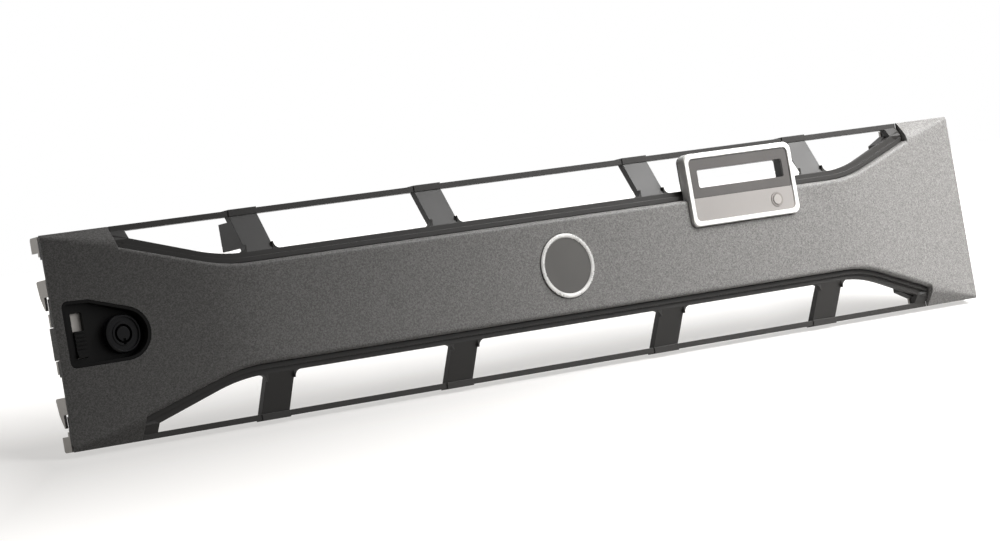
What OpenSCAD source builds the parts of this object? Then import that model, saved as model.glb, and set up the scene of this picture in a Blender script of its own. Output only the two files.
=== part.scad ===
// Server front bezel: a moulded cover with sloping ends on a black grille frame, with a sprung
// latch and a tubular lock at the left end, a round badge and a button module with a window.
//
// X runs along the bezel, to the right as seen from the front. The front faces -Y and Z is up.
// The origin is at mid-length and mid-height on the plane of the two rear seats. The modules
// below work from the rim plane, where y = 0 is the front edge of the rim, and from_rim()
// moves each of them forward to its place.

/* [Overall] */
// Length over both ends
total_l = 482.4; // [470:0.2:520]
// Height over both rims
total_h = 86.8; // [84:0.2:96]
// How far the bar stands in front of the rim
bar_rise = 14; // [12:0.5:18]
// How far the rear seats lie behind the rim
seat_back = 7; // [6.6:0.2:10]
// How far the hooks reach behind the seats
hook_reach = 2.3; // [1.5:0.1:6]

/* [Front cover] */
// Wall of the cover
cover_wall = 2.2; // [1.6:0.1:2.6]
// Height of the bar between the two rows of windows
bar_h = 41.6; // [38:0.2:46]
// Length of the sloping ramp at each end
ramp_l = 74.8; // [66:0.2:90]
// Half length of the soft bend from ramp to bar
ramp_bend = 16; // [6:1:20]
// Height of the ramp at the very end
end_rise = 0.8; // [0.4:0.1:1.5]
// Length of the full-height part of each end
wing_l = 31.1; // [30:0.1:34]
// Height of the step where the full-height part stops
wing_step = 8.9; // [7:0.1:11]
// Half length of the soft knee in the outline
knee_bend = 11; // [4:1:16]
// Size of the rounding along the front edges
edge_r = 2.8; // [1.2:0.1:4]
// Rise of the corner facets for each millimetre in from the rim
facet_slope = 0.84; // [0.7:0.02:1]
// Depth of the cover's skirt behind the rim
skirt = 0.8; // [0.4:0.1:1.2]
// Side wall of the bar, from the front face back to the frame
side_depth = 4.5; // [4:0.1:6]
// Height of the tab at the middle of each end
end_tab_h = 13; // [8:0.5:14]
// How far the end tab reaches behind the rim
end_tab_reach = 4.8; // [3:0.1:6]
// Diameter of the cover's screw bosses
cover_boss_d = 7; // [6:0.5:9]

/* [Grille frame] */
// Thickness of the web behind the bar
web_t = 2.5; // [1.5:0.1:3]
// Height of the rails along the top and the bottom
rail_h = 2.4; // [1.8:0.1:3.5]
// Depth of the rails
rail_d = 4.6; // [4.2:0.1:6]
// Width of the frame between the bar and the windows
window_border = 4.4; // [3.6:0.1:5.4]
// Distance from the rim to the windows' edge at the outer tips
tip_inset = 5.9; // [5:0.1:7]
// Distance from the end to the windows' outer tips
tip_l = 38.1; // [37:0.1:42]
// Width of the bead beside the cover
bead_w = 2; // [1:0.1:3]
// Height of the bead beside the cover
bead_h = 1.3; // [0.5:0.1:1.5]
// Gap between the cover and the frame
seam = 0.25; // [0.15:0.05:0.4]
// Distance from the middle to the inner ribs' centres
inner_rib_x = 55.6; // [50:0.2:60]
// Distance from an end to the outer ribs' centres
outer_rib_e = 93.7; // [90:0.1:98]
// Width of each rib
rib_w = 13.4; // [8:0.2:15]
// Thickness of the ribs, measured front to back
rib_t = 3.4; // [2.4:0.1:4]
// Corner radius of the windows on the bar side
window_r = 3; // [1:0.5:5]
// How far the ribs' caps stand proud of the rails
cap_proud = 0.4; // [0.2:0.1:0.8]

/* [Ends] */
// Thickness of the end walls and of the plate behind the cover
tray_t = 2; // [1.6:0.1:2.4]
// Length of the chamber for the latch and the lock
chamber_l = 43; // [42:0.5:46]
// Distance from the rim to the chamber
chamber_margin = 6.9; // [6.4:0.1:7.9]
// Thickness of the sheet steel in brackets, latch and cam
sheet_t = 1.2; // [0.8:0.1:1.4]
// Height of each hook
hook_h = 12.2; // [10:0.2:13]
// Height of the slots that the hooks stand in
hook_slot_h = 20.6; // [20.2:0.2:22]
// Distance from the middle to the centres of the hook slots
hook_slot_z = 23.6; // [23:0.2:24.4]
// Height of the corner tabs
corner_tab_h = 6.5; // [4:0.5:7]

/* [Latch and lock] */
// How far the latch slides up
latch_travel = 7; // [5:0.5:7]
// Distance from the end to the middle of the latch button
button_x = 9.9; // [9.6:0.1:10.4]
// Length of the latch button
button_l = 10.6; // [8:0.2:11]
// Width of the latch button
button_w = 4.6; // [3.6:0.1:5]
// Height of the slot's middle above the bezel's middle
slot_z = 1.85; // [1:0.05:2.5]
// Distance from the end to the axis of the lock
lock_x = 27.7; // [27.2:0.1:28.2]
// Radius of the pocket's round end
pocket_r = 10.9; // [10.4:0.1:11.4]
// Height of the pocket's upper left corner above the middle
pocket_top = 16; // [14:0.5:18]
// Wall of the pocket
pocket_wall = 1.2; // [0.8:0.1:1.4]
// How far the pocket's floor lies in front of the rim
pocket_floor = 0.7; // [0.5:0.1:1]
// Diameter of the lock's head
lock_head_d = 15.6; // [14:0.2:16.6]
// How far the lock's head stands in front of the pocket's floor
lock_head_h = 4.3; // [3:0.1:5]
// Diameter of the lock's threaded barrel
lock_barrel_d = 12; // [11.4:0.2:13]
// Diameter of the lock's turning plug
plug_d = 9.6; // [9:0.1:10]
// Length of the lock's cam from the axis
cam_l = 12; // [9:0.5:12]

/* [Badge] */
// Diameter of the badge
badge_d = 28; // [22:0.5:32]
// Width of the badge's ring
badge_ring_w = 1.9; // [1:0.1:3]
// How far the ring stands proud of the bar
badge_proud = 1; // [0.4:0.1:2]

/* [Button module] */
// Width of the module
mod_w = 61.4; // [56:0.2:64]
// Distance from the bezel's middle to the module's middle
mod_x = 101.5; // [99:0.5:103]
// Height of the module's lower edge above the bezel's middle
mod_low = 8.1; // [7.5:0.1:8.7]
// How far the module stands proud of the bar
mod_proud = 1.6; // [1:0.1:3]
// Depth of the module's white frame
mod_frame_d = 4.9; // [4:0.1:5]
// Width of the white frame's rim
mod_rim = 2.3; // [1.5:0.1:3]
// Corner radius of the module
mod_r = 3.6; // [2.5:0.1:5]
// Height of the plain strip below the window
strip_h = 10; // [9:0.2:10.6]
// Width of the through window
view_w = 48.6; // [40:0.2:50]
// Height of the through window
view_h = 8.1; // [6:0.1:8.6]
// Diameter of the round button
sync_d = 4.4; // [3.6:0.1:5]
// Distance from the module's right edge to the round button
sync_edge = 12.3; // [11.6:0.1:13]
// Outer diameter of the ring around the button
sync_ring_d = 6.6; // [6:0.1:7]
// Travel of the round button
sync_travel = 0.6; // [0.3:0.1:0.8]

/* [Fasteners] */
// Shank diameter of the screws
screw_d = 2.4; // [2:0.1:2.8]
// Head diameter of the screws
head_d = 4.8; // [4:0.2:5.4]
// Head height of the pan-head screws
head_h = 1.6; // [1:0.1:1.8]

/* [Hidden] */
$fn = 72;

cover_grey = "#8d8a86";
frame_black = "#3a3835";
steel_grey = "#b1aca4";
pocket_black = "#1f1e1d";
module_white = "#f0efec";
strip_grey = "#b8b1ac";

half_l = total_l / 2;
half_h = total_h / 2;
fit = 0.1;              // face to face clearance between seated pieces
gap = 0.3;              // running clearance of the moving pieces
over = 1;               // overshoot of a cut past the face that it opens

// Slopes that follow from the driving sizes
bar_inset = (total_h - bar_h) / 2;
window_inset = bar_inset - window_border;
outer_rib_x = half_l - outer_rib_e;
chamber_h = total_h - 2 * chamber_margin;
mod_h = half_h - rail_h - gap - mod_low;
mod_z = mod_low + mod_h / 2;
sync_x = mod_w / 2 - sync_edge;
ramp_slope = (bar_rise - end_rise) / ramp_l;
step_slope = (bar_inset - wing_step) / (ramp_l - wing_l);
window_slope = (window_inset - tip_inset) / (ramp_l - tip_l);
facet_norm = sqrt(1 + facet_slope * facet_slope);
step_lean = 0.6;        // run of the step's slightly leaning wall
edge_parts = 6;         // facets along a rounded edge
bend_parts = 10;        // facets along a soft bend

// Levels, measured back from the rim plane
web_front = side_depth + fit - bar_rise;
web_back = web_front + web_t;
tray_front = skirt + fit;
tray_back = tray_front + tray_t;
bracket_front = seat_back - sheet_t;
hook_tip = seat_back + hook_reach;
slide_front = tray_front + 0.4;
slide_back = slide_front + sheet_t;
mod_front = -bar_rise - mod_proud;
mod_frame_back = mod_front + mod_frame_d;
mod_view_z = window_z0() + view_h / 2;

// ---- Form of the cover, as functions of the distance e from an end ----

// A straight slope s that bends softly into the level top, centred on the corner c
function eased(e, c, w, s, top) =
    e <= c - w ? top - s * (c - e)
    : e >= c + w ? top
    : top - s * pow(c + w - e, 2) / (4 * w);

// Height of the front face in front of the rim
function rise(e) = eased(e, ramp_l, ramp_bend, ramp_slope, bar_rise);

// Distance of the cover's long edge from the rim, past the step
function cover_inset(e) = eased(e, ramp_l, knee_bend, step_slope, bar_inset);

// Distance of the windows' edge from the rim
function opening_inset(e) = eased(e, ramp_l, knee_bend, window_slope, window_inset);

// Rounded corner at c, entered along the direction u and left along v
function rounded(c, u, v, f) = [
    for (i = [0 : edge_parts])
        let (t = i / edge_parts)
        c + pow(1 - t, 2) * f * u + pow(t, 2) * f * v
];

// Half section of the cover at e, moved inwards by off: [y, distance from the rim]
function cover_half(e, off) =
    let (p = rise(e) - off,
         wing = e < wing_l - off - step_lean / 2,
         y1 = off * (facet_norm - facet_slope),
         d = wing ? (p + off * facet_norm) / facet_slope : cover_inset(e) + off,
         u = wing ? [facet_slope, -1] / facet_norm : [1, 0],
         rear = wing ? skirt + off : side_depth - rise(e) + off,
         room = wing ? norm([y1 + p, d - off]) : side_depth - off,
         f = min(edge_r, 0.45 * room))
    concat([[rear, wing ? off : d], wing ? [y1, off] : [(rear - p) / 2, d]],
           rounded([-p, d], u, [0, 1], f));

// Closed ring of points at x from a half section that starts at the rim
function ring(x, half) =
    let (n = len(half))
    concat([for (q = half) [x, q[0], half_h - q[1]]],
           [for (i = [1 : n]) [x, half[n - i][0], half[n - i][1] - half_h]]);

// Distances from the end at which the form needs a section
function stations(first, off) =
    let (w = max(ramp_bend, knee_bend))
    concat([first, wing_l - off - step_lean, wing_l - off],
           [for (i = [0 : bend_parts]) ramp_l - w + 2 * w * i / bend_parts]);

// The same list from the left end to the right end, as x
function both_ends(list) =
    let (n = len(list))
    concat([for (e = list) e - half_l], [for (i = [1 : n]) half_l - list[n - i]]);

function from_end(x) = half_l - abs(x);

// Arc of points about c
function arc(c, r, a0, a1, n = 12) =
    [for (i = [0 : n]) c + r * [cos(a0 + (a1 - a0) * i / n), sin(a0 + (a1 - a0) * i / n)]];

function window_z0() = half_h - window_inset;

// ---- Helpers ----

module from_rim() {
    translate([0, -seat_back, 0]) children();
}

// Extrudes an X-Z outline from y0 to y1
module along_y(y0, y1) {
    translate([0, y1, 0]) rotate([90, 0, 0]) linear_extrude(y1 - y0) children();
}

// Extrudes a Y-Z outline from x0 to x1
module along_x(x0, x1) {
    translate([x0, 0, 0]) rotate([90, 0, 90]) linear_extrude(x1 - x0) children();
}

// Extrudes an X-Y outline from z0 to z1
module along_z(z0, z1) {
    translate([0, 0, z0]) linear_extrude(z1 - z0) children();
}

// Straight box between two corners
module box(a, b) {
    translate(a) cube(b - a);
}

// Round bar along Y
module round_y(d, y0, y1, x = 0, z = 0, fn = $fn) {
    translate([x, y1, z]) rotate([90, 0, 0]) cylinder(h = y1 - y0, d = d, $fn = fn);
}

module mirrored_x() {
    children();
    mirror([1, 0, 0]) children();
}

module mirrored_z() {
    children();
    mirror([0, 0, 1]) children();
}

// Closed solid through a list of rings with equal numbers of points
module loft(rings) {
    n = len(rings[0]);
    m = len(rings);
    points = [for (r = rings) each r];
    sides = [for (i = [0 : m - 2], j = [0 : n - 1])
        let (a = i * n + j, b = i * n + (j + 1) % n)
        each [[a, a + n, b], [b, a + n, b + n]]];
    start = [for (j = [0 : n - 1]) j];
    end = [for (j = [0 : n - 1]) m * n - 1 - j];
    polyhedron(points = points, faces = concat([start], sides, [end]), convexity = 6);
}

// Rounded rectangle centred on c
module round_rect(w, h, r, c = [0, 0]) {
    x = w / 2 - r;
    z = h / 2 - r;
    translate(c) polygon(concat(arc([x, z], r, 0, 90), arc([-x, z], r, 90, 180),
        arc([-x, -z], r, 180, 270), arc([x, -z], r, 270, 360)));
}

// Pan-head screw with its head towards the rear, seated at y
module pan_screw(x, z, y, shank) {
    translate([x, y, z]) difference() {
        union() {
            round_y(head_d, 0, head_h, fn = 32);
            round_y(screw_d, -shank, 0, fn = 24);
        }
        cross_recess(head_h);
    }
}

// Countersunk screw with its head flush at y
module flush_screw(x, z, y, shank) {
    translate([x, y, z]) difference() {
        union() {
            flush_head(0);
            round_y(screw_d, -shank, -sheet_t, fn = 24);
        }
        cross_recess(0);
    }
}

// Cone of a countersunk head, grown by g
module flush_head(g) {
    rotate([90, 0, 0]) cylinder(h = sheet_t, r1 = head_d / 2 + g, r2 = screw_d / 2 + g, $fn = 32);
}

// Cross recess sunk into a face at y
module cross_recess(y) {
    depth = 0.6;
    arm = head_d * 0.32;
    for (a = [0, 90])
        rotate([0, a, 0]) box([-arm, y - depth, -0.3], [arm, y + over, 0.3]);
}

// ---- Front cover ----

cover_screw_x = [40, 95, half_l - ramp_l - ramp_bend - 0.4];
cover_screw_z = -6;
cover_rib_x = [22, 62, 122, 136];
badge_seat = 0.8;
badge_gap = 0.3;
stud_d = 4;

module front_cover() {
    color(cover_grey) from_rim() {
        difference() {
            union() {
                difference() {
                    loft([for (x = both_ends(stations(0, 0))) ring(x, cover_half(from_end(x), 0))]);
                    loft([for (x = both_ends(stations(cover_wall, cover_wall)))
                        ring(x, cover_half(from_end(x), cover_wall))]);
                }
                cover_bosses();
                cover_ribs();
            }
            along_y(-bar_rise, skirt + over) pocket_outline(0);
            round_y(badge_d + 2 * badge_gap, -bar_rise - over, badge_seat - bar_rise);
            round_y(stud_d + 2 * fit, -bar_rise - over, web_front);
            module_notch();
            mirrored_x() for (x = cover_screw_x)
                round_y(screw_d, -bar_rise + cover_wall / 2, web_front + over, x, cover_screw_z);
        }
        mirrored_x() end_tab();
    }
}

// Bosses behind the bar, which seat on the frame's web
module cover_bosses() {
    mirrored_x() for (x = cover_screw_x)
        round_y(cover_boss_d, -bar_rise + cover_wall / 2, web_front - fit, x, cover_screw_z);
}

// Thin stiffening ribs across the inside of the bar
module cover_ribs() {
    rib = 1.2;
    h = bar_h / 2 - cover_wall / 2;
    mirrored_x() for (x = cover_rib_x) {
        top = x > inner_rib_x ? mod_low - over : h;
        box([x - rib / 2, -bar_rise + cover_wall / 2, -h], [x + rib / 2, web_front - gap, top]);
    }
}

// Opening for the button module, through the face and the upper side wall
module module_notch() {
    w = mod_w + 2 * gap;
    z0 = mod_low - gap;
    along_y(mod_front, web_front + fit) translate([mod_x, 0]) polygon(concat(
        arc([mod_r - w / 2, z0 + mod_r], mod_r, 180, 270),
        arc([w / 2 - mod_r, z0 + mod_r], mod_r, 270, 360),
        [[w / 2, half_h], [-w / 2, half_h]]));
}

// Tab at the middle of an end
module end_tab() {
    box([half_l - 1.8, skirt - 0.4, -end_tab_h / 2], [half_l - 0.3, end_tab_reach, end_tab_h / 2]);
}

// ---- Grille frame ----

frame_start = wing_l + gap;
rail_end = half_l - frame_start;

// Stations of the web, from the end at the cover's step to the level part of the bar
web_stations = concat([frame_start], [for (e = stations(0, 0)) if (e > tip_l + over) e]);

// Plan outline of a band that follows the cover, from y0 to y1 behind its front face
function plan_band(y0, y1) =
    let (xs = both_ends(web_stations), n = len(xs))
    concat([for (x = xs) [x, y0 - rise(from_end(x))]],
           [for (i = [1 : n]) [xs[n - i], y1 - rise(from_end(xs[n - i]))]]);

// Outline between a curve and its mirror image, where curve(e) is measured from the rim:
// 0 follows the windows' edge and 1 the cover's edge, each moved by shift
module long_outline(which, shift) {
    xs = both_ends(web_stations);
    n = len(xs);
    top = [for (x = xs)
        let (e = from_end(x))
        half_h - shift - (which == 0 ? opening_inset(e) : cover_inset(e))];
    polygon(concat([for (i = [0 : n - 1]) [xs[i], top[i]]],
        [for (i = [1 : n]) [xs[n - i], -top[n - i]]]));
}

module grille_frame() {
    color(frame_black) from_rim() {
        difference() {
            union() {
                web();
                bead();
                web_stiffeners();
                mirrored_z() rails_and_ribs();
                mirrored_x() locating_tongue();
                end_tray(false);
                mirror([1, 0, 0]) end_tray(true);
                latch_guides();
                spring_post();
            }
            pocket_clearance();
            module_seat_cuts();
            screw_clearances();
        }
    }
}

// Web behind the bar and the ramps
module web() {
    intersection() {
        along_z(-half_h, half_h) polygon(plan_band(side_depth + fit, side_depth + fit + web_t));
        along_y(-bar_rise, seat_back) long_outline(0, 0);
    }
}

// Raised bead that runs beside the cover
module bead() {
    intersection() {
        along_z(-half_h, half_h) polygon(plan_band(side_depth + fit - bead_h, side_depth + fit + web_t / 2));
        along_y(-bar_rise, seat_back) difference() {
            long_outline(1, -seam - bead_w);
            long_outline(1, -seam);
        }
    }
}

// Upper rail with the ribs and corner plates that join it to the web
module rails_and_ribs() {
    box([-rail_end, 0, half_h - rail_h], [rail_end, rail_d, half_h]);
    mirrored_x() for (x = [inner_rib_x, outer_rib_x]) {
        rib(x - rib_w / 2, x + rib_w / 2, -web_front, window_inset);
        rib_cap(x);
        corner_fillet(x + rib_w / 2, 1);
        corner_fillet(x - rib_w / 2, -1);
    }
    mirrored_x() rib(half_l - tip_l, rail_end, rise(tip_l) - side_depth - fit, tip_inset);
}

// Sloping plate from the rail to the web: q is how far the web stands in front of the rim and
// inset where the plate meets it
module rib(x0, x1, q, inset) {
    z0 = half_h - inset;
    z1 = half_h - rail_h;
    root = 0.4;
    along_x(x0, x1) polygon([
        [root - q, z0 - 1.5], [fit - q, z0], [0.02, z1 + 0.2], [0.02, half_h - root],
        [rib_t, half_h - root], [rib_t, z1], [rib_t - q, z0], [web_t - root - q, z0 - 1.5]]);
}

// Cap where a rib wraps over the rail
module rib_cap(x) {
    box([x - rib_w / 2, -cap_proud, half_h - rail_h],
        [x + rib_w / 2, rail_d + cap_proud, half_h + cap_proud]);
}

// Fillet between the web's edge and a rib, on the side that dir gives
module corner_fillet(x, dir) {
    z0 = half_h - window_inset;
    r = window_r;
    translate([x, 0, z0]) mirror([dir < 0 ? 1 : 0, 0, 0]) along_y(web_front + fit, web_back - fit) difference() {
        translate([-0.5, -0.5]) square(r + 0.5);
        translate([r, r]) circle(r);
    }
}

// Room for the lock pocket and its flange in the left end of the web
module pocket_clearance() {
    along_y(-bar_rise, bracket_front + over) intersection() {
        pocket_outline(-pocket_lip - 0.5);
        translate([chamber_end_x, -half_h]) square([chamber_l - tray_t, total_h]);
    }
}

// Two long ribs along the back of the web
module web_stiffeners() {
    t = 1.6;
    z = window_z0() - 2.7;
    reach = half_l - ramp_l - ramp_bend;
    mirrored_z() box([-reach, web_back - 0.5, z - t / 2], [reach, web_back + 2.4, z + t / 2]);
}

// Tongue behind the outer ribs of the upper row, which enters the chassis
module locating_tongue() {
    x = outer_rib_x + rib_w / 2;
    t = 1.6;
    along_x(x - t, x) polygon([
        [rib_t / 2, half_h - rail_h - 2.2], [hook_tip, half_h - rail_h - 2.2],
        [hook_tip, window_z0() + 2], [web_front + rib_t, window_z0() + 2]]);
}

chamber_end_x = -half_l + 3.2;
chamber_wall = 1.8;
bracket_boss_d = 6;
// Distances of the bracket's screws from the end and from the middle
bracket_screw_at = [[21.5, chamber_h / 2 - 2.8], [39.1, chamber_h / 2 - 5.5]];

// Plate and walls of the right-hand chamber, with slots for sliding hooks or without
module end_tray(slotted) {
    e0 = 0.4;
    plate_l = tip_l - 0.5;
    h = half_h - cover_wall - gap;
    inner = chamber_h / 2;
    difference() {
        along_y(tray_front, tray_back) difference() {
            translate([half_l - plate_l, -h]) square([plate_l - e0, 2 * h]);
            translate([half_l - chamber_l, -inner]) square([chamber_l - 3.2, 2 * inner]);
        }
        if (slotted) mirrored_z() box([half_l - 3.3, tray_front - over, hook_slot_z - hook_slot_h / 2],
            [half_l, tray_back + over, hook_slot_z + hook_slot_h / 2]);
        box([half_l - 2.2, tray_front - over, -end_tab_h / 2 - gap],
            [half_l, tray_back + over, end_tab_h / 2 + gap]);
    }
    tray_walls(inner);
    bracket_bosses();
    if (slotted) hook_lugs();
}

// Walls that stand around the chamber and carry the bracket
module tray_walls(inner) {
    x0 = half_l - chamber_l;
    x1 = half_l - 6.5;
    low = opening_inset(chamber_l + chamber_wall) + 0.6;
    mirrored_z() box([x0 + 5.5, tray_front, inner], [x1, bracket_front - fit, inner + chamber_wall]);
    root = side_depth + fit + web_t / 2 - rise(chamber_l);
    box([x0 - chamber_wall, root, low - half_h], [x0, bracket_front - fit, half_h - low]);
    mirrored_z() along_y(tray_front, bracket_front - fit) polygon([
        [x0 - chamber_wall, half_h - low - 4], [x0, half_h - low - 4],
        [x0 + 5.6, inner], [x0 + 5.6, inner + chamber_wall], [x0 - chamber_wall, half_h - low]]);
}

module bracket_bosses() {
    mirrored_z() for (p = bracket_screw_at)
        round_y(bracket_boss_d, tray_front, bracket_front - fit, half_l - p[0], p[1], 40);
}

// Lugs behind the hooks' throats, and the bridges that join the end wall across the hook slots
module hook_lugs() {
    x0 = half_l - 3.4;
    x1 = half_l - 2;
    y = slide_back + gap;
    for (z = [hook_slot_z, -hook_slot_z]) {
        low = z - hook_slot_h / 2;
        high = z + hook_slot_h / 2;
        box([x0, tray_front, low - 1], [x1, hook_tip - 3.6, low + hook_h * 0.4]);
        box([x0, y, low - 0.5], [x1, y + 1.1, high + 0.5]);
        box([x0, tray_front, high], [x1, y + 1.1, high + 1]);
    }
}

// Bars beside the latch slide that keep it straight
module latch_guides() {
    x = slide_x1 + gap;
    mirrored_z() box([x, tray_front, chamber_h / 4], [x + 1.2, tray_back, chamber_h / 2 + 0.2]);
}

// Post above the latch spring
module spring_post() {
    box([spring_x - 2.2, slide_back + gap, spring_top], [spring_x + 2.2, bracket_front - fit,
        chamber_h / 2 + 0.2]);
}

// What the module needs in the frame: a gap in the bead and an opening for the contacts
module module_seat_cuts() {
    w = mod_w + 2 * gap;
    box([mod_x - w / 2, -bar_rise, mod_low - gap], [mod_x + w / 2, web_front, window_z0() + 6.8]);
    box([mod_x - contact_w / 2 - gap, web_front - over, contact_z - contact_h / 2 - gap],
        [mod_x + contact_w / 2 + gap, web_back + over, contact_z + contact_h / 2 + gap]);
}

// Holes for all the screws that pass through or into the frame
module screw_clearances() {
    mirrored_x() for (x = cover_screw_x)
        round_y(screw_d + 2 * fit, web_front - over, web_back + over, x, cover_screw_z, 32);
    for (p = module_screw_at)
        round_y(screw_d + 2 * fit, web_front - over, web_back + over, p[0], p[1], 32);
    round_y(stud_d + 2 * fit, web_front - over, web_back + over);
    mirrored_x() mirrored_z() for (p = bracket_screw_at)
        round_y(screw_d, tray_front + 0.8, bracket_front + over, half_l - p[0], p[1], 32);
}

// ---- Brackets ----

bracket_step = 4.7;     // distance from the end to the bracket's joggle

// Folded steel bracket at the right-hand end; notched for hooks that slide, or plain
module bracket_plate(notched) {
    h = half_h - cover_wall - gap;
    e1 = chamber_l + chamber_wall;
    low = half_h - opening_inset(e1) - 0.6;
    y0 = tray_back + fit;
    difference() {
        union() {
            along_z(-h, h) polygon([
                [half_l - 0.4, y0], [half_l - 0.4, y0 + sheet_t],
                [half_l - bracket_step, y0 + sheet_t], [half_l - bracket_step, seat_back],
                [half_l - chamber_l, seat_back], [half_l - chamber_l, bracket_front],
                [half_l - bracket_step - sheet_t, bracket_front], [half_l - bracket_step - sheet_t, y0]]);
            mirrored_z() corner_tab(y0);
        }
        if (notched) mirrored_z() box([half_l - 3.7, tray_front, hook_slot_z - hook_slot_h / 2 - 1.2],
            [half_l + over, hook_tip, hook_slot_z + hook_slot_h / 2 + 1.2]);
        box([half_l - 2.2, tray_front, -end_tab_h / 2 - gap], [half_l + over, hook_tip, end_tab_h / 2 + gap]);
        mirrored_z() along_y(tray_front, hook_tip) polygon([
            [half_l - chamber_l - over, low - 0.4], [half_l - chamber_l - over, half_h],
            [half_l - chamber_l + 7, half_h], [half_l - chamber_l + 7, low + 3.4]]);
        mirrored_z() for (p = bracket_screw_at) translate([half_l - p[0], seat_back, p[1]]) {
            flush_head(fit);
            round_y(screw_d + 6 * fit, -sheet_t - over, 0, fn = 32);
        }
    }
}

// Tab that reaches back from a corner of the bracket
module corner_tab(y0) {
    top = half_h - 0.2;
    r = 1.2;
    along_x(half_l - 0.4 - sheet_t, half_l - 0.4) polygon(concat(
        [[y0, half_h - corner_tab_h], [hook_tip, half_h - corner_tab_h]],
        arc([hook_tip - r, top - r], r, 0, 90), [[y0, top]]));
}

module left_bracket() {
    color(steel_grey) from_rim() difference() {
        mirror([1, 0, 0]) bracket_plate(true);
        round_y(cam_screw_d + 2.4, tray_front, hook_tip, lock_x - half_l);
    }
}

module right_bracket() {
    color(steel_grey) from_rim() {
        bracket_plate(false);
        for (z = [hook_slot_z, -hook_slot_z])
            fixed_hook(z);
    }
}

// Hook that is folded out of the right-hand bracket
module fixed_hook(z) {
    y0 = tray_back + fit;
    x1 = half_l - 0.4;
    along_x(x1 - sheet_t, x1) translate([0, z - hook_h / 2]) hook_outline(y0 + sheet_t / 2);
}

module bracket_screws() {
    color("silver") from_rim() mirrored_x() mirrored_z() for (p = bracket_screw_at)
        flush_screw(half_l - p[0], p[1], seat_back, bracket_front - tray_front);
}

module cover_screws() {
    color("silver") from_rim() mirrored_x() for (x = cover_screw_x)
        pan_screw(x, cover_screw_z, web_back, bar_rise - cover_wall / 2 + web_back - 0.4);
}

// ---- Lock pocket ----

pocket_lip = 3;         // how far the pocket's flange runs under the cover
pocket_left = 3.8;      // distance from the end to the pocket's left edge
pocket_corner = 2.4;

// Outline of the pocket in X and Z, moved inwards by g
module pocket_outline(g) {
    x0 = pocket_left - half_l + pocket_corner;
    lock = [lock_x - half_l, 0];
    knee = [lock[0] - pocket_r - 1.9, pocket_top - 0.4 - g];
    r = pocket_r - g;
    reach = knee - lock;
    tangent = atan2(reach[1], reach[0]) - acos(r / norm(reach));
    polygon(concat(arc(lock, r, -90, tangent, 24), [knee],
        arc([x0, pocket_top - pocket_corner], pocket_corner - min(g, 2), 90, 180, 6),
        arc([x0, pocket_corner - pocket_r], pocket_corner - min(g, 2), 180, 270, 6)));
}

// Plan outline of a layer that follows the ramp, from depth y0 to y1 behind its face
module ramp_layer(y0, y1) {
    e1 = lock_x + pocket_r + pocket_lip + 4.2;
    polygon([[-half_l, y0 - end_rise], [e1 - half_l, y0 - rise(e1)],
        [e1 - half_l, y1 - rise(e1)], [-half_l, y1 - end_rise]]);
}

module lock_pocket() {
    floor_back = tray_front - fit;
    color(pocket_black) from_rim() difference() {
        union() {
            intersection() {
                along_y(-bar_rise, floor_back) difference() {
                    pocket_outline(fit);
                    pocket_outline(fit + pocket_wall);
                }
                along_z(-half_h, half_h) ramp_layer(fit, bar_rise);
            }
            along_y(-pocket_floor, floor_back) pocket_outline(fit);
            intersection() {
                along_y(-bar_rise, floor_back) difference() {
                    pocket_outline(-pocket_lip);
                    pocket_outline(fit + pocket_wall);
                    translate([-half_l, -half_h]) square([12, total_h]);
                }
                along_z(-half_h, half_h) ramp_layer(cover_wall * 1.02 + fit, cover_wall + 1.6);
            }
        }
        along_y(-bar_rise, floor_back + over) translate([button_x - half_l, slot_z])
            square([button_w + 0.6, button_l + latch_travel + 0.5], center = true);
        round_y(lock_barrel_d + 2 * fit, -bar_rise, floor_back + over, lock_x - half_l);
    }
}

// ---- Latch ----

slide_x0 = button_x - half_l - 3.2;
slide_x1 = button_x - half_l + 6.3;
hook_z = hook_slot_z - hook_slot_h / 2 + gap;   // lower end of the upper hook at rest
spring_x = button_x - half_l + 1.6;
spring_top = chamber_h / 2 - 3;
spring_foot = spring_top - latch_travel * 2;
spring_wire = 0.5;
spring_d = 2.8;

// Side view of a hook, with its lower end at z = 0 and its root at y = root
module hook_outline(root) {
    limb = hook_tip - 4.5;
    throat = hook_h * 0.44;
    polygon(concat(
        [[root, throat], [limb, throat], [limb, 0], [limb + 0.6, 0], [limb + 2, hook_h * 0.2],
         [hook_tip - 1.1, hook_h * 0.45]],
        arc([hook_tip - 0.9, hook_h - 0.9], 0.9, 0, 90, 4), [[root, hook_h]]));
}

module latch_slide() {
    throat = hook_h * 0.44;
    top = spring_foot + 6;
    color(steel_grey) from_rim() difference() {
        union() {
            along_y(slide_front, slide_back) {
                translate([slide_x0, -hook_z - 2 * hook_h + 4.5])
                    square([slide_x1 - slide_x0, top + hook_z + 2 * hook_h - 4.5]);
                for (z = [hook_z, hook_z - 2 * hook_slot_z])
                    translate([0.2 - half_l, z + throat])
                        square([slide_x0 + half_l + 0.8, hook_h - throat]);
            }
            for (z = [hook_z, hook_z - 2 * hook_slot_z])
                along_x(0.2 - half_l, 0.2 + sheet_t - half_l) translate([0, z]) hook_outline(slide_front);
            folded_tab(spring_x - 2, spring_x + 2, spring_foot - sheet_t);
            folded_tab(slide_x1 - 3, slide_x1, -latch_travel - 6);
        }
        for (z = [-1, 1])
            round_y(1.6 + 2 * fit, slide_front - over, slide_back + over, button_x - half_l,
                button_z + z * button_l / 4, 24);
    }
}

// Tab folded back from the slide to the bracket, with its lower face at z
module folded_tab(x0, x1, z) {
    box([x0, slide_back - 0.5, z], [x1, bracket_front - 0.2, z + sheet_t]);
}

button_z = slot_z - latch_travel / 2;

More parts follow.
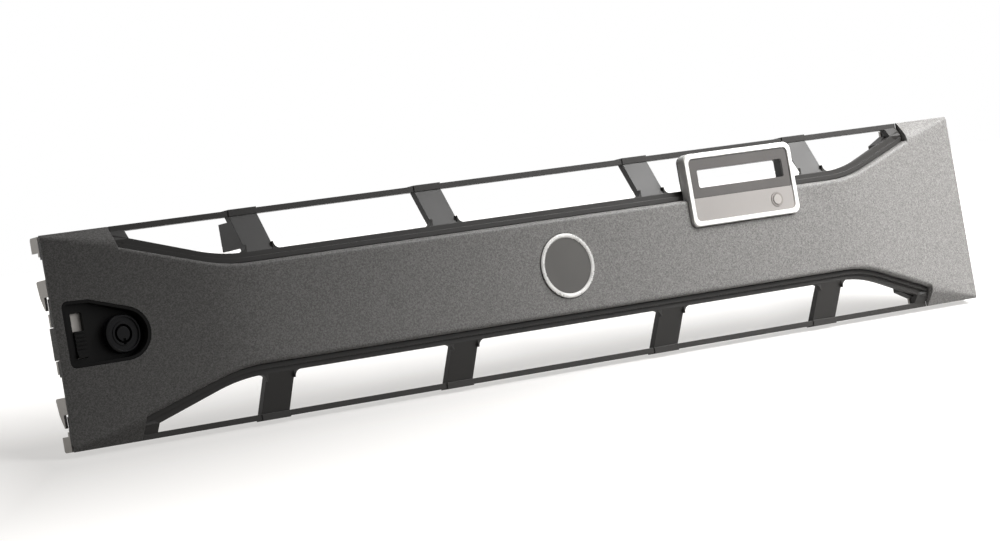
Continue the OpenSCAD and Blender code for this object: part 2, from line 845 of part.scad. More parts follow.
module latch_button() {
    w = button_w / 2;
    l = button_l / 2;
    cap = pocket_floor + 1;
    color(pocket_black) from_rim() translate([button_x - half_l, 0, button_z]) {
        difference() {
            box([-w, -cap, -l], [w, slide_front, l]);
            for (z = [-l + 2.6 : 1.6 : l - 1])
                box([-w - over, -cap - over, z], [w + over, -cap + 0.5, z + 0.8]);
        }
        box([-w, -cap - 0.6, -l], [w, -cap + 0.1, -l + 1.3]);
        for (z = [-1, 1])
            round_y(1.6, slide_front - 0.1, slide_back, 0, z * button_l / 4, 24);
    }
}

module latch_spring() {
    turns = 8;
    steps = 12;
    n = turns * steps;
    r = (spring_d - spring_wire) / 2;
    y = (slide_back + bracket_front) / 2;
    height = spring_top - spring_foot - spring_wire - 2 * 0.02;
    color("gainsboro") from_rim() translate([spring_x, y, spring_foot + spring_wire / 2 + 0.02])
        loft([for (i = [0 : n])
            let (a = 360 * i / steps)
            [for (k = [5 : -1 : 0])
                let (b = 60 * k, q = r + spring_wire / 2 * cos(b))
                [q * cos(a), q * sin(a), height * i / n + spring_wire / 2 * sin(b)]]]);
}

// ---- Lock ----

head_front = -pocket_floor - lock_head_h;
barrel_back = tray_back + 1.1;
cam_front = barrel_back + 0.2;
tail_w = 5;
cam_screw_d = 6;
key_post_d = 5.8;
key_groove_d = 7.8;

module lock_body() {
    rim = 1;
    color(pocket_black) from_rim() translate([lock_x - half_l, 0, 0]) difference() {
        union() {
            round_y(lock_head_d, head_front + 0.5, -pocket_floor);
            translate([0, head_front + 0.5, 0]) rotate([90, 0, 0])
                cylinder(h = 0.5, r1 = lock_head_d / 2, r2 = lock_head_d / 2 - 0.5);
            round_y(lock_barrel_d, -pocket_floor - fit, barrel_back);
        }
        round_y(lock_head_d - 2 * rim, head_front - over, head_front + 0.8);
        round_y(plug_d + 0.08, head_front, barrel_back + over);
    }
}

module lock_nut() {
    flats = lock_barrel_d + 3;
    floor_back = tray_front - fit;
    color("silver") from_rim() translate([lock_x - half_l, 0, 0]) difference() {
        round_y(flats / cos(30), floor_back, floor_back + 2.2, fn = 6);
        round_y(lock_barrel_d + 0.04, floor_back - over, floor_back + 3.2);
    }
}

module lock_plug() {
    face = head_front + 0.5;
    color("#2b2a29") from_rim() translate([lock_x - half_l, 0, 0]) difference() {
        union() {
            round_y(plug_d, face, barrel_back);
            box([-tail_w / 2, barrel_back - 0.1, -tail_w / 2], [tail_w / 2, cam_front + sheet_t, tail_w / 2]);
        }
        difference() {
            round_y(key_groove_d, face - over, face + 4.5);
            round_y(key_post_d, face - 2 * over, face + 5);
        }
        box([-0.6, face - over, -plug_d / 2 + 0.4], [0.6, face + 1.6, -key_post_d / 2]);
        box([-0.6, face - over, -key_post_d / 2 - 0.1], [0.6, face + 1, -key_post_d / 2 + 1]);
        round_y(1.6, cam_front - over, cam_front + sheet_t + over, fn = 24);
    }
}

module lock_cam() {
    w = 6;
    color("silver") from_rim() translate([lock_x - half_l, 0, 0]) difference() {
        union() {
            round_y(9, cam_front, cam_front + sheet_t);
            box([-cam_l, cam_front, -w / 2], [0, cam_front + sheet_t, w / 2]);
        }
        box([-tail_w / 2 - 0.04, cam_front - over, -tail_w / 2 - 0.04],
            [tail_w / 2 + 0.04, cam_front + sheet_t + over, tail_w / 2 + 0.04]);
    }
}

module cam_screw() {
    y = cam_front + sheet_t;
    color("silver") from_rim() translate([lock_x - half_l, 0, 0]) difference() {
        union() {
            round_y(cam_screw_d, y, y + 1.1, fn = 32);
            round_y(1.6, y - 1.6, y + 0.1, fn = 24);
        }
        translate([0, 0, 0]) cross_recess(y + 1.1);
    }
}

// ---- Badge ----

module badge_ring() {
    floor_y = badge_seat - bar_rise;
    edge = 0.5;
    r = badge_d / 2;
    top = -bar_rise - badge_proud;
    color("#d9d8d5") from_rim() rotate([90, 0, 0]) rotate_extrude() polygon([
        [r - badge_ring_w, -floor_y], [r, -floor_y], [r, -top - edge], [r - edge, -top],
        [r - badge_ring_w + edge, -top], [r - badge_ring_w, -top - edge]]);
}

module badge_plate() {
    floor_y = badge_seat - bar_rise;
    color("#57544f") from_rim() {
        round_y(badge_d - 2 * badge_ring_w - 0.1, -bar_rise - badge_proud + 0.6, floor_y);
        round_y(stud_d, floor_y - 0.1, web_front - fit, fn = 40);
    }
}

module badge_clip() {
    y = -bar_rise + cover_wall;
    color("silver") from_rim() difference() {
        round_y(9, y, y + 0.6, fn = 40);
        round_y(stud_d + 0.04, y - over, y + 2, fn = 40);
    }
}

// ---- Button module ----

strip_z0 = mod_low + mod_rim + 0.3;
sync_z = strip_z0 + strip_h / 2 - 0.3;
board_y = web_front - 2.8;
contact_w = 18;
contact_h = 6;
contact_z = strip_z0 + 4.6;
module_screw_at = [for (s = [-1, 1], z = [1.4, strip_h - 1.9]) [mod_x + s * (mod_w / 2 - 5.7), strip_z0 + z]];
board_l = mod_w - 18.2;
inner_w = mod_w - 2 * mod_rim;
inner_h = mod_h - 2 * mod_rim;
inner_r = mod_r - mod_rim / 2;

module module_frame() {
    edge = 0.6;
    color(module_white) from_rim() {
        difference() {
            union() {
                along_y(mod_front + edge, mod_frame_back)
                    round_rect(mod_w, mod_h, mod_r, [mod_x, mod_z]);
                along_y(mod_front, mod_front + edge)
                    round_rect(mod_w - edge, mod_h - edge, mod_r - edge / 2, [mod_x, mod_z]);
                side_lug();
            }
            along_y(mod_front - over, mod_frame_back + over)
                round_rect(inner_w, inner_h, inner_r, [mod_x, mod_z]);
        }
    }
}

// Small ramped lug on the module's right side
module side_lug() {
    x = mod_x + mod_w / 2;
    z = mod_z + 0.5;
    along_y(mod_front + 0.6, mod_front + 3.4) polygon([
        [x - over, z], [x + 2.8, z], [x + 3.2, z + 1.2], [x, z + 7], [x - over, z + 7]]);
}

module module_housing() {
    core_front = mod_front + 1.5;
    color(frame_black) from_rim() difference() {
        union() {
            along_y(mod_frame_back, web_front)
                round_rect(mod_w - 0.8, mod_h - 0.8, mod_r - 0.4, [mod_x, mod_z]);
            along_y(core_front, mod_frame_back + 0.1)
                round_rect(inner_w - 2 * fit, inner_h - 2 * fit, inner_r - fit, [mod_x, mod_z]);
        }
        view_window(core_front - over, web_front + over);
        box([mod_x - board_l / 2 - 0.4, core_front - over, strip_z0 + 0.6],
            [mod_x + board_l / 2 + 0.4, board_y + 1, strip_z0 + strip_h - 1]);
        box([mod_x - contact_w / 2 - fit, board_y, contact_z - contact_h / 2 - fit],
            [mod_x + contact_w / 2 + fit, web_front + over, contact_z + contact_h / 2 + fit]);
        for (p = module_screw_at)
            round_y(screw_d, web_front - 3, web_front + over, p[0], p[1], 32);
    }
}

// The through window
module view_window(y0, y1) {
    along_y(y0, y1) round_rect(view_w, view_h, 1, [mod_x + 0.3, mod_view_z]);
}

module module_fascia() {
    z0 = strip_z0 + strip_h + fit;
    z1 = mod_z + inner_h / 2 - fit;
    w = inner_w - 2 * fit;
    r = inner_r - fit;
    color("#4a4745") from_rim() difference() {
        along_y(mod_front + 0.5, mod_front + 1.5) translate([mod_x, 0]) polygon(concat(
            arc([w / 2 - r, z1 - r], r, 0, 90), arc([r - w / 2, z1 - r], r, 90, 180),
            [[-w / 2, z0], [w / 2, z0]]));
        view_window(mod_front, mod_front + 2);
    }
}

module module_strip() {
    z0 = mod_z - inner_h / 2 + fit;
    z1 = strip_z0 + strip_h;
    w = inner_w - 2 * fit;
    r = inner_r - fit;
    color(strip_grey) from_rim() difference() {
        along_y(mod_front + 0.4, mod_front + 1.5) translate([mod_x, 0]) polygon(concat(
            [[w / 2, z1], [-w / 2, z1]],
            arc([r - w / 2, z0 + r], r, 180, 270), arc([w / 2 - r, z0 + r], r, 270, 360)));
        round_y(sync_ring_d + 0.1, mod_front, mod_front + 2, mod_x + sync_x, sync_z);
    }
}

switch_front = board_y - 1.2;

module module_button() {
    color("#c6c1bc") from_rim() translate([mod_x + sync_x, 0, sync_z]) {
        round_y(sync_d, mod_front - 0.1, mod_front + 1.5, fn = 48);
        round_y(sync_d - 1.8, mod_front + 1.4, switch_front - sync_travel - 0.05, fn = 32);
    }
}

module button_ring() {
    color("#8e8883") from_rim() translate([mod_x + sync_x, 0, sync_z]) difference() {
        round_y(sync_ring_d, mod_front + 0.2, mod_front + 1.5, fn = 48);
        round_y(sync_d + 0.3, mod_front - over, mod_front + 3, fn = 48);
    }
}

module module_board() {
    color("darkgreen") from_rim()
        box([mod_x - board_l / 2, board_y, strip_z0 + 0.9],
            [mod_x + board_l / 2, board_y + 0.9, strip_z0 + strip_h - 1.3]);
}

module button_switch() {
    w = 1.9;
    color("dimgray") from_rim() translate([mod_x + sync_x, 0, sync_z]) {
        box([-w, switch_front + 0.4, -w], [w, board_y, w]);
        round_y(2, switch_front, switch_front + 0.5, fn = 32);
    }
}

module button_lamp() {
    color("white") from_rim()
        box([mod_x + sync_x - 3.2, board_y - 0.7, sync_z - 3.6], [mod_x + sync_x - 1.6, board_y, sync_z - 2.8]);
}

module contact_block() {
    back = web_back + 2.4;
    color(frame_black) from_rim() difference() {
        box([mod_x - contact_w / 2, board_y + 0.9, contact_z - contact_h / 2],
            [mod_x + contact_w / 2, back, contact_z + contact_h / 2]);
        box([mod_x - contact_w / 2 + 1, web_back, contact_z - contact_h / 2 + 1],
            [mod_x + contact_w / 2 - 1, back + over, contact_z + contact_h / 2 - 1]);
        for (i = pin_rows)
            pin(i, 0);
    }
}

pin_rows = [-5 : 2 : 5];

// Square contact pin, grown by g
module pin(i, g) {
    w = 0.35 + g;
    box([mod_x + i * 1.3 - w, board_y + 0.9, contact_z - w], [mod_x + i * 1.3 + w, web_back + 2, contact_z + w]);
}

module contact_pins() {
    color("gold") from_rim() for (i = pin_rows)
        pin(i, 0);
}

module module_screws() {
    color("silver") from_rim() for (p = module_screw_at)
        pan_screw(p[0], p[1], web_back, web_t + 2.8);
}

front_cover();
grille_frame();
left_bracket();
right_bracket();
bracket_screws();
cover_screws();
lock_pocket();
latch_slide();
latch_button();
latch_spring();
lock_body();
lock_nut();
lock_plug();
lock_cam();
cam_screw();
badge_ring();
badge_plate();
badge_clip();
module_frame();
module_housing();
module_fascia();
module_strip();
module_button();
button_ring();
module_board();
button_switch();
button_lamp();
contact_block();
contact_pins();
module_screws();
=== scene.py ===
"""Looks of a two-unit server front bezel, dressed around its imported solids.

The solids give every size and place. This script gives each node its finish, puts a finer coil in
place of the latch's spring, and sets a floor, soft light and a camera around the bezel.
"""

import logging
import math
from dataclasses import dataclass
from enum import Enum
from typing import Any, Dict, Optional, Sequence, Tuple, Union

import bmesh
import bpy
from mathutils import Matrix, Vector


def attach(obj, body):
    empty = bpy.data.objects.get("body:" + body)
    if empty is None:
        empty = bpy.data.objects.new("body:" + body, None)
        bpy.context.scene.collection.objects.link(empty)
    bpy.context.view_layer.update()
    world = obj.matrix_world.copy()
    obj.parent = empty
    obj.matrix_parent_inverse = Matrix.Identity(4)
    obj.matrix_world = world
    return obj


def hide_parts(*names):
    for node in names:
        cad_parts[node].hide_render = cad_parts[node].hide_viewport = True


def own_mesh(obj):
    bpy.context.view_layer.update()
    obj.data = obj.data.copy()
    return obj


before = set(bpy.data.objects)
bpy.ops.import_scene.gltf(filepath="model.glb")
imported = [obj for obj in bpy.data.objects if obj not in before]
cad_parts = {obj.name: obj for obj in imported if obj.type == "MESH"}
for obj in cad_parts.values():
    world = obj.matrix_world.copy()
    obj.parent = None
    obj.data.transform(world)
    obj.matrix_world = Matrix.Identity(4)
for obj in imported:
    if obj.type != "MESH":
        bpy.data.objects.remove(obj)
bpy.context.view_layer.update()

LOG = logging.getLogger("bezel")
MM = 0.001

Colour = Tuple[float, float, float]
Number = Union[float, "Wire"]


class Body(Enum):
    """Names of the bodies that new pieces ride on."""

    BEZEL = "bezel"


# ---- Shader maths ----


class Wire:
    """Output socket that takes part in arithmetic and adds the Math nodes it needs."""

    def __init__(self, bench: "Bench", socket: bpy.types.NodeSocket) -> None:
        """Keeps the socket and the bench it belongs to.

        Args:
            bench: The bench whose material holds the socket.
            socket: The output socket.
        """
        self.bench = bench
        self.socket = socket

    def _pair(self, operation: str, other: Number, swapped: bool = False) -> "Wire":
        """Joins this wire and another value with one Math node.

        Args:
            operation: The Math node's operation.
            other: A number or another wire.
            swapped: True to put the other value first.

        Returns:
            The result as a wire.
        """
        first, second = (other, self) if swapped else (self, other)
        return self.bench.maths(operation, first, second)

    def __add__(self, other: Number) -> "Wire":
        """Sum."""
        return self._pair("ADD", other)

    __radd__ = __add__

    def __sub__(self, other: Number) -> "Wire":
        """Difference."""
        return self._pair("SUBTRACT", other)

    def __rsub__(self, other: Number) -> "Wire":
        """Difference with this wire second."""
        return self._pair("SUBTRACT", other, swapped=True)

    def __mul__(self, other: Number) -> "Wire":
        """Product."""
        return self._pair("MULTIPLY", other)

    __rmul__ = __mul__


class Bench:
    """One node tree, and the means to add nodes to it."""

    def __init__(self, tree: bpy.types.NodeTree, material: Optional[bpy.types.Material] = None) -> None:
        """Empties the tree.

        Args:
            tree: The node tree.
            material: The material that owns the tree, if it is a material's.
        """
        self.tree = tree
        self.material = material
        self.tree.nodes.clear()

    @classmethod
    def for_material(cls, name: str) -> "Bench":
        """Bench of a new material.

        Args:
            name: Name of the material.

        Returns:
            The bench.
        """
        material = bpy.data.materials.new(name)
        material.use_nodes = True
        return cls(material.node_tree, material)

    def add(self, kind: str, settings: Optional[Dict[str, Any]] = None,
            inputs: Optional[Dict[Union[str, int], Any]] = None) -> bpy.types.Node:
        """Adds one node.

        Args:
            kind: Type of the node.
            settings: Properties that are set first.
            inputs: Values or wires for the node's sockets, by name or index.

        Returns:
            The new node.
        """
        node = self.tree.nodes.new(kind)
        for key, value in (settings or {}).items():
            setattr(node, key, value)
        for key, value in (inputs or {}).items():
            self.feed(node.inputs[key], value)
        return node

    def feed(self, socket: bpy.types.NodeSocket, value: Any) -> None:
        """Sets a socket's value, or links a wire to it.

        Args:
            socket: The input socket.
            value: A number, a colour or a wire.
        """
        if isinstance(value, Wire):
            self.tree.links.new(value.socket, socket)
        elif socket.type == "RGBA":
            socket.default_value = (*value[:3], 1.0)
        else:
            socket.default_value = value

    def wire(self, kind: str, settings: Optional[Dict[str, Any]] = None,
             inputs: Optional[Dict[Union[str, int], Any]] = None, output: Union[str, int] = 0) -> Wire:
        """Adds one node and gives one of its outputs.

        Args:
            kind: Type of the node.
            settings: Properties that are set first.
            inputs: Values or wires for the node's sockets.
            output: Name or index of the output.

        Returns:
            The output as a wire.
        """
        return Wire(self, self.add(kind, settings, inputs).outputs[output])

    def maths(self, operation: str, *values: Number, clamp: bool = False) -> Wire:
        """Adds a Math node.

        Args:
            operation: The node's operation.
            values: Its numbers or wires, in order.
            clamp: True to keep the result between 0 and 1.

        Returns:
            The result as a wire.
        """
        return self.wire("ShaderNodeMath", {"operation": operation, "use_clamp": clamp},
                         dict(enumerate(values)))

    def spread(self, value: Number, low: float, high: float, to_low: float = 0.0, to_high: float = 1.0) -> Wire:
        """Maps a value from one range to another, clamped.

        Args:
            value: What is mapped.
            low: Start of the range that is read.
            high: End of the range that is read.
            to_low: Result at the start.
            to_high: Result at the end.

        Returns:
            The mapped value as a wire.
        """
        return self.wire("ShaderNodeMapRange", None,
                         {"Value": value, "From Min": low, "From Max": high, "To Min": to_low, "To Max": to_high})

    def mix(self, factor: Number, first: Any, second: Any) -> Wire:
        """Mixes two colours.

        Args:
            factor: Share of the second colour.
            first: A colour or a wire.
            second: A colour or a wire.

        Returns:
            The mixed colour as a wire.
        """
        return self.wire("ShaderNodeMix", {"data_type": "RGBA"}, {0: factor, 6: first, 7: second}, 2)

    def place(self) -> Wire:
        """Object coordinates, in metres."""
        return self.wire("ShaderNodeTexCoord", output="Object")

    def noise(self, where: Wire, scale: float, detail: float = 2.0, rough: float = 0.5) -> Wire:
        """Noise between 0 and 1.

        Args:
            where: Coordinates.
            scale: Waves for each metre.
            detail: Octaves.
            rough: Weight of the finer octaves.

        Returns:
            The noise as a wire.
        """
        return self.wire("ShaderNodeTexNoise", None,
                         {"Vector": where, "Scale": scale, "Detail": detail, "Roughness": rough})

    def stretched(self, where: Wire, scale: Sequence[float]) -> Wire:
        """Coordinates stretched along the axes.

        Args:
            where: Coordinates.
            scale: Factor for each axis.

        Returns:
            The new coordinates as a wire.
        """
        return self.wire("ShaderNodeMapping", None, {"Vector": where, "Scale": tuple(scale)})

    def relief(self, height: Wire, depth: float, strength: float, normal: Wire) -> Wire:
        """Normal of a fine relief.

        Args:
            height: Height between 0 and 1.
            depth: Depth of the relief in metres.
            strength: Strength of the effect.
            normal: Normal that it starts from.

        Returns:
            The bumped normal as a wire.
        """
        return self.wire("ShaderNodeBump", None,
                         {"Height": height, "Distance": depth, "Strength": strength, "Normal": normal})

    def soft_edges(self, radius: float) -> Wire:
        """Normal that rounds the edges.

        Args:
            radius: Radius in metres.

        Returns:
            The rounded normal as a wire.
        """
        return self.wire("ShaderNodeBevel", {"samples": 4}, {"Radius": radius})

    def finish(self, inputs: Dict[str, Any]) -> bpy.types.Material:
        """Ends the material with a Principled shader.

        Args:
            inputs: Values and wires of the shader.

        Returns:
            The material.
        """
        shader = self.add("ShaderNodeBsdfPrincipled", None, inputs)
        output = self.add("ShaderNodeOutputMaterial")
        self.tree.links.new(shader.outputs[0], output.inputs[0])
        return self.material


# ---- Finishes ----


@dataclass(frozen=True)
class SparklePaint:
    """Satin silver-grey paint with fine metallic flakes, drawn lighter in colour: a random flake tone and painted
    glints.
    """

    name: str
    base: Colour
    flake: Colour
    roughness: float = 0.42
    metallic: float = 0.0
    specular: float = 0.16
    flake_size: float = 0.42 * MM
    edge: float = 0.25 * MM

    def build(self) -> bpy.types.Material:
        """Makes the material.

        Returns:
            The material.
        """
        bench = Bench.for_material(self.name)
        where = bench.place()
        cell = bench.wire("ShaderNodeTexVoronoi", {"feature": "F1"},
                          {"Vector": where, "Scale": 1 / self.flake_size}, "Color")
        parts = bench.add("ShaderNodeSeparateColor", None, {"Color": cell})
        shade, tilt = Wire(bench, parts.outputs[0]), Wire(bench, parts.outputs[1])
        cloud = bench.noise(where, 900.0, 2.0)
        # Lighter flakes and mottling in the colour: a random tone, and painted glints of the metal flakes.
        flake_tone_and_painted_glint = bench.spread(shade * 0.6 + cloud * 0.4, 0.25, 0.8)
        colour = bench.mix(flake_tone_and_painted_glint, self.base, self.flake)
        rough = bench.spread(tilt, 0.0, 1.0, self.roughness - 0.07, self.roughness + 0.07)
        normal = bench.relief(shade * 0.5 + cloud * 0.5, 0.02 * MM, 0.35, bench.soft_edges(self.edge))
        return bench.finish({"Base Color": colour, "Metallic": self.metallic, "Roughness": rough,
                             "Specular IOR Level": self.specular, "Normal": normal})


@dataclass(frozen=True)
class MouldedPlastic:
    """Moulded plastic with a fine spark-eroded grain and a slight unevenness."""

    name: str
    base: Colour
    roughness: float = 0.45
    grain: float = 0.012 * MM
    grain_size: float = 0.5 * MM
    uneven: float = 0.12
    specular: float = 0.5
    edge: float = 0.25 * MM

    def build(self) -> bpy.types.Material:
        """Makes the material.

        Returns:
            The material.
        """
        bench = Bench.for_material(self.name)
        where = bench.place()
        grain = bench.noise(where, 1 / self.grain_size, 3.0, 0.6)
        patches = bench.noise(where, 45.0, 2.0)
        darker = tuple(c * (1 - self.uneven) for c in self.base)
        lighter = tuple(min(1.0, c * (1 + self.uneven)) for c in self.base)
        colour = bench.mix(bench.spread(patches * 0.6 + grain * 0.4, 0.3, 0.7), darker, lighter)
        rough = bench.spread(patches, 0.3, 0.7, self.roughness - 0.05, self.roughness + 0.05)
        normal = bench.relief(grain, self.grain, 0.6, bench.soft_edges(self.edge))
        return bench.finish({"Base Color": colour, "Roughness": rough, "Specular IOR Level": self.specular,
                             "Normal": normal})


@dataclass(frozen=True)
class PlatedSteel:
    """Zinc-plated sheet steel or screws, with faint rolling marks."""

    name: str
    base: Colour
    roughness: float = 0.38
    metallic: float = 0.8
    marks: Tuple[float, float, float] = (60.0, 900.0, 900.0)
    edge: float = 0.12 * MM

    def build(self) -> bpy.types.Material:
        """Makes the material.

        Returns:
            The material.
        """
        bench = Bench.for_material(self.name)
        where = bench.place()
        rolled = bench.noise(bench.stretched(where, self.marks), 1.0, 3.0, 0.6)
        bloom = bench.noise(where, 160.0, 3.0, 0.6)
        darker = tuple(c * 0.82 for c in self.base)
        colour = bench.mix(bench.spread(bloom * 0.7 + rolled * 0.3, 0.35, 0.65), darker, self.base)
        rough = bench.spread(bloom, 0.3, 0.7, self.roughness - 0.08, self.roughness + 0.08)
        normal = bench.relief(rolled, 0.004 * MM, 0.4, bench.soft_edges(self.edge))
        return bench.finish({"Base Color": colour, "Metallic": self.metallic, "Roughness": rough, "Normal": normal})


COVER_PAINT = SparklePaint("cover_paint", (0.135, 0.131, 0.126), (0.245, 0.239, 0.231))
FRAME_BLACK = MouldedPlastic("frame_black", (0.020, 0.0185, 0.017), 0.44, specular=0.3, edge=0.3 * MM)
POCKET_BLACK = MouldedPlastic("pocket_black", (0.004, 0.0038, 0.0036), 0.42, specular=0.1, edge=0.2 * MM)
LOCK_BLACK = MouldedPlastic("lock_black", (0.003, 0.0028, 0.0036), 0.3, 0.004 * MM, 0.8 * MM, specular=0.14,
                            edge=0.2 * MM)
ZINC = PlatedSteel("zinc_steel", (0.40, 0.38, 0.355), 0.42, 0.55)
SCREW_STEEL = PlatedSteel("screw_steel", (0.58, 0.57, 0.55), 0.3, 0.95, (600.0, 600.0, 600.0), 0.08 * MM)
SPRING_STEEL = PlatedSteel("spring_steel", (0.5, 0.49, 0.47), 0.28, 1.0, (800.0, 800.0, 800.0), 0.02 * MM)
BADGE_RIM = PlatedSteel("badge_rim", (0.66, 0.65, 0.63), 0.3, 0.7, (500.0, 500.0, 500.0), 0.15 * MM)
BADGE_FACE = MouldedPlastic("badge_face", (0.058, 0.054, 0.049), 0.5, 0.01 * MM, 0.3 * MM)
MODULE_WHITE = MouldedPlastic("module_white", (0.83, 0.82, 0.79), 0.35, 0.004 * MM, uneven=0.015)
MODULE_DARK = MouldedPlastic("module_dark", (0.062, 0.056, 0.052), 0.45)
STRIP_GREY = MouldedPlastic("strip_grey", (0.29, 0.272, 0.258), 0.5, 0.006 * MM, uneven=0.03)
BUTTON_GREY = MouldedPlastic("button_grey", (0.36, 0.335, 0.315), 0.45, 0.004 * MM, uneven=0.03)
RING_GREY = MouldedPlastic("ring_grey", (0.22, 0.20, 0.185), 0.5, 0.004 * MM, uneven=0.03)
BOARD_GREEN = MouldedPlastic("board_green", (0.012, 0.075, 0.03), 0.35, 0.004 * MM)
SWITCH_BLACK = MouldedPlastic("switch_black", (0.03, 0.03, 0.03), 0.4)
LAMP_WHITE = MouldedPlastic("lamp_white", (0.8, 0.8, 0.74), 0.25, 0.0, uneven=0.02, edge=0.05 * MM)
CONTACT_GOLD = PlatedSteel("contact_gold", (0.83, 0.6, 0.24), 0.25, 1.0, edge=0.05 * MM)

FINISHES = {finish.name: finish for finish in (
    COVER_PAINT, FRAME_BLACK, POCKET_BLACK, LOCK_BLACK, ZINC, SCREW_STEEL, SPRING_STEEL, BADGE_RIM,
    BADGE_FACE, MODULE_WHITE, MODULE_DARK, STRIP_GREY, BUTTON_GREY, RING_GREY, BOARD_GREEN,
    SWITCH_BLACK, LAMP_WHITE, CONTACT_GOLD)}


class Workshop:
    """Gives the nodes their finishes."""

    def __init__(self) -> None:
        """Starts with no material made."""
        self.made: Dict[str, bpy.types.Material] = {}

    def material(self, slot: str) -> bpy.types.Material:
        """Material of a slot, made once.

        Args:
            slot: Name of the slot.

        Returns:
            The material.
        """
        if slot not in self.made:
            if slot in bpy.data.materials:
                bpy.data.materials[slot].name = "packed_" + slot
            self.made[slot] = FINISHES[slot].build()
        return self.made[slot]

    def dress_nodes(self) -> None:
        """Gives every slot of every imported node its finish."""
        for name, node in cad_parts.items():
            for slot in node.material_slots:
                slot.material = self.material(slot.material.name.split(".")[0].replace("packed_", ""))
                LOG.info("node %s wears %s", name, slot.material.name)


# ---- Pieces ----


@dataclass
class ReturnSpring:
    """Coil that pushes the latch back down."""

    workshop: Workshop
    axis_x: float = -229.7 * MM
    axis_y: float = -2.85 * MM
    low: float = 19.56 * MM
    high: float = 33.44 * MM
    outer: float = 2.8 * MM
    wire: float = 0.4 * MM
    wire_sides: int = 12
    turns: int = 7
    steps: int = 28
    travel: float = 7.0 * MM

    def build(self) -> bpy.types.Object:
        """Makes the coil in place of its plain solid.

        Returns:
            The coil's object.
        """
        radius = (self.outer - self.wire) / 2
        rise = self.high - self.low - self.wire
        work = bmesh.new()
        bmesh.ops.create_circle(work, cap_ends=False, segments=self.wire_sides, radius=self.wire / 2)
        bmesh.ops.rotate(work, verts=work.verts, cent=(0, 0, 0), matrix=Matrix.Rotation(math.pi / 2, 3, "X"))
        bmesh.ops.translate(work, verts=work.verts, vec=(radius, 0.0, 0.0))
        bmesh.ops.spin(work, geom=list(work.verts) + list(work.edges), cent=(0, 0, 0), axis=(0, 0, 1),
                       dvec=(0, 0, rise / (self.turns * self.steps)), angle=2 * math.pi * self.turns,
                       steps=self.turns * self.steps, use_duplicate=False)
        bmesh.ops.holes_fill(work, edges=[edge for edge in work.edges if edge.is_boundary], sides=self.wire_sides)
        bmesh.ops.translate(work, verts=work.verts, vec=(self.axis_x, self.axis_y, self.low + self.wire / 2))
        bmesh.ops.recalc_face_normals(work, faces=work.faces)
        for face in work.faces:
            face.smooth = len(face.verts) == 4
        mesh = bpy.data.meshes.new("return_spring")
        work.to_mesh(mesh)
        work.free()
        spring = bpy.data.objects.new("return_spring", mesh)
        bpy.context.scene.collection.objects.link(spring)
        mesh.materials.append(self.workshop.material("spring_steel"))
        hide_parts("latch_spring")
        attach(spring, Body.BEZEL.value)
        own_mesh(spring)
        LOG.info("piece %s on body %s", spring.name, Body.BEZEL.value)
        return spring


# ---- Floor, light and camera ----


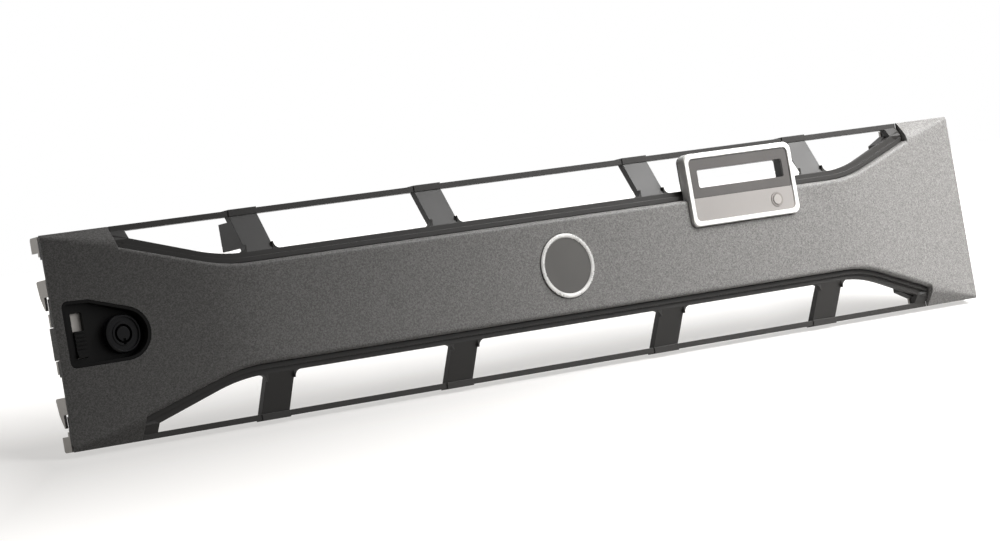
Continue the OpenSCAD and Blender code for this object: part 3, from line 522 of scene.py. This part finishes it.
@dataclass
class Studio:
    """White floor under the leaning bezel with a painted shade around it, soft lamps and the camera."""

    lean_deg: float = 16.8
    floor_drop: float = 42.05 * MM
    floor_front: float = 1.1
    floor_back: float = 0.3
    floor_side: float = 0.9
    bezel_half: float = 0.24
    # Reach and camera glow of the painted shade on the floor close around the bezel.
    painted_shade_reach: Tuple[float, float] = (0.015, 0.10)
    painted_shade_glow: float = 0.58
    glow_rise: float = 0.42
    lens: float = 127.2
    sensor: float = 36.0
    camera_place: Tuple[float, float, float] = (-889.4 * MM, -1254.1 * MM, -41.9 * MM)
    camera_ahead: Tuple[float, float, float] = (0.5692, 0.8217, 0.0294)
    camera_up: Tuple[float, float, float] = (0.1221, -0.1198, 0.9853)

    @property
    def up(self) -> Vector:
        """Direction that is up in the room, seen from the leaning bezel."""
        lean = math.radians(self.lean_deg)
        return Vector((0.0, -math.sin(lean), math.cos(lean)))

    def floor(self) -> bpy.types.Object:
        """Makes the floor on which the bezel leans.

        Returns:
            The floor's object.
        """
        work = bmesh.new()
        bmesh.ops.create_grid(work, x_segments=1, y_segments=1, size=1.0)
        middle = (self.floor_back - self.floor_front) / 2
        bmesh.ops.scale(work, verts=work.verts, vec=(self.floor_side, (self.floor_back + self.floor_front) / 2, 1.0))
        bmesh.ops.translate(work, verts=work.verts, vec=(0.0, middle, -self.floor_drop))
        bmesh.ops.rotate(work, verts=work.verts, cent=(0, 0, 0),
                         matrix=Matrix.Rotation(math.radians(self.lean_deg), 3, "X"))
        mesh = bpy.data.meshes.new("floor")
        work.to_mesh(mesh)
        work.free()
        floor = bpy.data.objects.new("floor", mesh)
        bpy.context.scene.collection.objects.link(floor)
        mesh.materials.append(self._floor_paint())
        return floor

    def _floor_paint(self) -> bpy.types.Material:
        """White floor that keeps its shadows and shows white to the camera, with a painted shade close around the
        bezel.

        Returns:
            The material.
        """
        bench = Bench.for_material("studio_floor")
        glow = bench.add("ShaderNodeEmission", None, {"Color": (1.0, 0.985, 0.965)})
        parts = bench.add("ShaderNodeSeparateXYZ", None, {"Vector": bench.place()})
        across, along = (bench.maths("ABSOLUTE", Wire(bench, parts.outputs[axis])) for axis in (0, 1))
        # Painted shade: close to the bezel the floor glows less to the camera, so it shows grey there even where it
        # is lit.
        outside_painted_shade = bench.spread(bench.maths("MAXIMUM", across - self.bezel_half, along), *self.painted_shade_reach)
        bench.feed(glow.inputs["Strength"], self._seen(bench) * (outside_painted_shade * self.glow_rise + self.painted_shade_glow))
        paint = bench.add("ShaderNodeBsdfDiffuse", None, {"Color": (0.36, 0.355, 0.35)})
        both = bench.add("ShaderNodeAddShader")
        bench.tree.links.new(glow.outputs[0], both.inputs[0])
        bench.tree.links.new(paint.outputs[0], both.inputs[1])
        output = bench.add("ShaderNodeOutputMaterial")
        bench.tree.links.new(both.outputs[0], output.inputs[0])
        return bench.material

    @staticmethod
    def _seen(bench: Bench) -> Wire:
        """1 for camera, glossy and transmission rays, else 0.

        Args:
            bench: The bench whose tree gets the nodes.

        Returns:
            The sum, clamped to 1.
        """
        path = bench.add("ShaderNodeLightPath")
        camera, glossy, through = (Wire(bench, path.outputs[name])
                                   for name in ("Is Camera Ray", "Is Glossy Ray", "Is Transmission Ray"))
        return bench.maths("ADD", camera + glossy, through, clamp=True)

    def world(self, strength: float = 0.03) -> None:
        """White surroundings that light the bezel softly.

        Args:
            strength: Strength of the light on matt surfaces.
        """
        world = bpy.data.worlds.new("studio")
        bpy.context.scene.world = world
        world.use_nodes = True
        bench = Bench(world.node_tree)
        level = self._seen(bench) * (1.0 - strength) + strength
        back = bench.add("ShaderNodeBackground", None, {"Color": (1.0, 1.0, 1.0)})
        bench.feed(back.inputs["Strength"], level)
        output = bench.add("ShaderNodeOutputWorld")
        bench.tree.links.new(back.outputs[0], output.inputs[0])

    def lamp(self, name: str, place: Sequence[float], target: Sequence[float], size: Tuple[float, float],
             watts: float, spread: float = math.pi) -> bpy.types.Object:
        """Adds a soft rectangular lamp.

        Args:
            name: Name of the lamp.
            place: Its middle, in metres.
            target: Point that it faces.
            size: Its width and height.
            watts: Its power.
            spread: Angle of its beam.

        Returns:
            The lamp's object.
        """
        data = bpy.data.lights.new(name, "AREA")
        data.shape = "RECTANGLE"
        data.size, data.size_y = size
        data.energy = watts
        data.spread = spread
        lamp = bpy.data.objects.new(name, data)
        bpy.context.scene.collection.objects.link(lamp)
        aim = Vector(target) - Vector(place)
        lamp.location = place
        lamp.rotation_euler = aim.to_track_quat("-Z", "Y").to_euler()
        lamp.visible_camera = False
        return lamp

    def lamps(self) -> None:
        """Adds the lamps."""
        self.lamp("side_box", place=(0.42, -0.30, 0.30), target=(0.24, 0.0, 0.0), size=(0.42, 0.42), watts=2.1,
                  spread=math.radians(74))
        self.lamp("top_box", place=tuple(self.up * 0.8 + Vector((0.1, 0.12, 0.0))), target=(0.0, 0.0, 0.0),
                  size=(1.2, 0.5), watts=0.9)

    def camera(self) -> None:
        """Places the camera."""
        data = bpy.data.cameras.new("camera")
        data.lens = self.lens
        data.sensor_width = self.sensor
        data.clip_start = 0.01
        camera = bpy.data.objects.new("camera", data)
        bpy.context.scene.collection.objects.link(camera)
        ahead = Vector(self.camera_ahead).normalized()
        right = ahead.cross(Vector(self.camera_up)).normalized()
        turn = Matrix((right, right.cross(ahead), -ahead)).transposed().to_4x4()
        turn.translation = Vector(self.camera_place)
        camera.matrix_world = turn
        bpy.context.scene.camera = camera


def main() -> None:
    """Dresses the bezel and sets the scene."""
    logging.basicConfig(level=logging.INFO, format="%(name)s: %(message)s")
    bpy.context.scene.view_settings.view_transform = "Standard"
    studio = Studio()
    studio.camera()
    studio.floor()
    studio.world()
    studio.lamps()
    workshop = Workshop()
    workshop.dress_nodes()
    ReturnSpring(workshop).build()


if __name__ == "__main__":
    main()
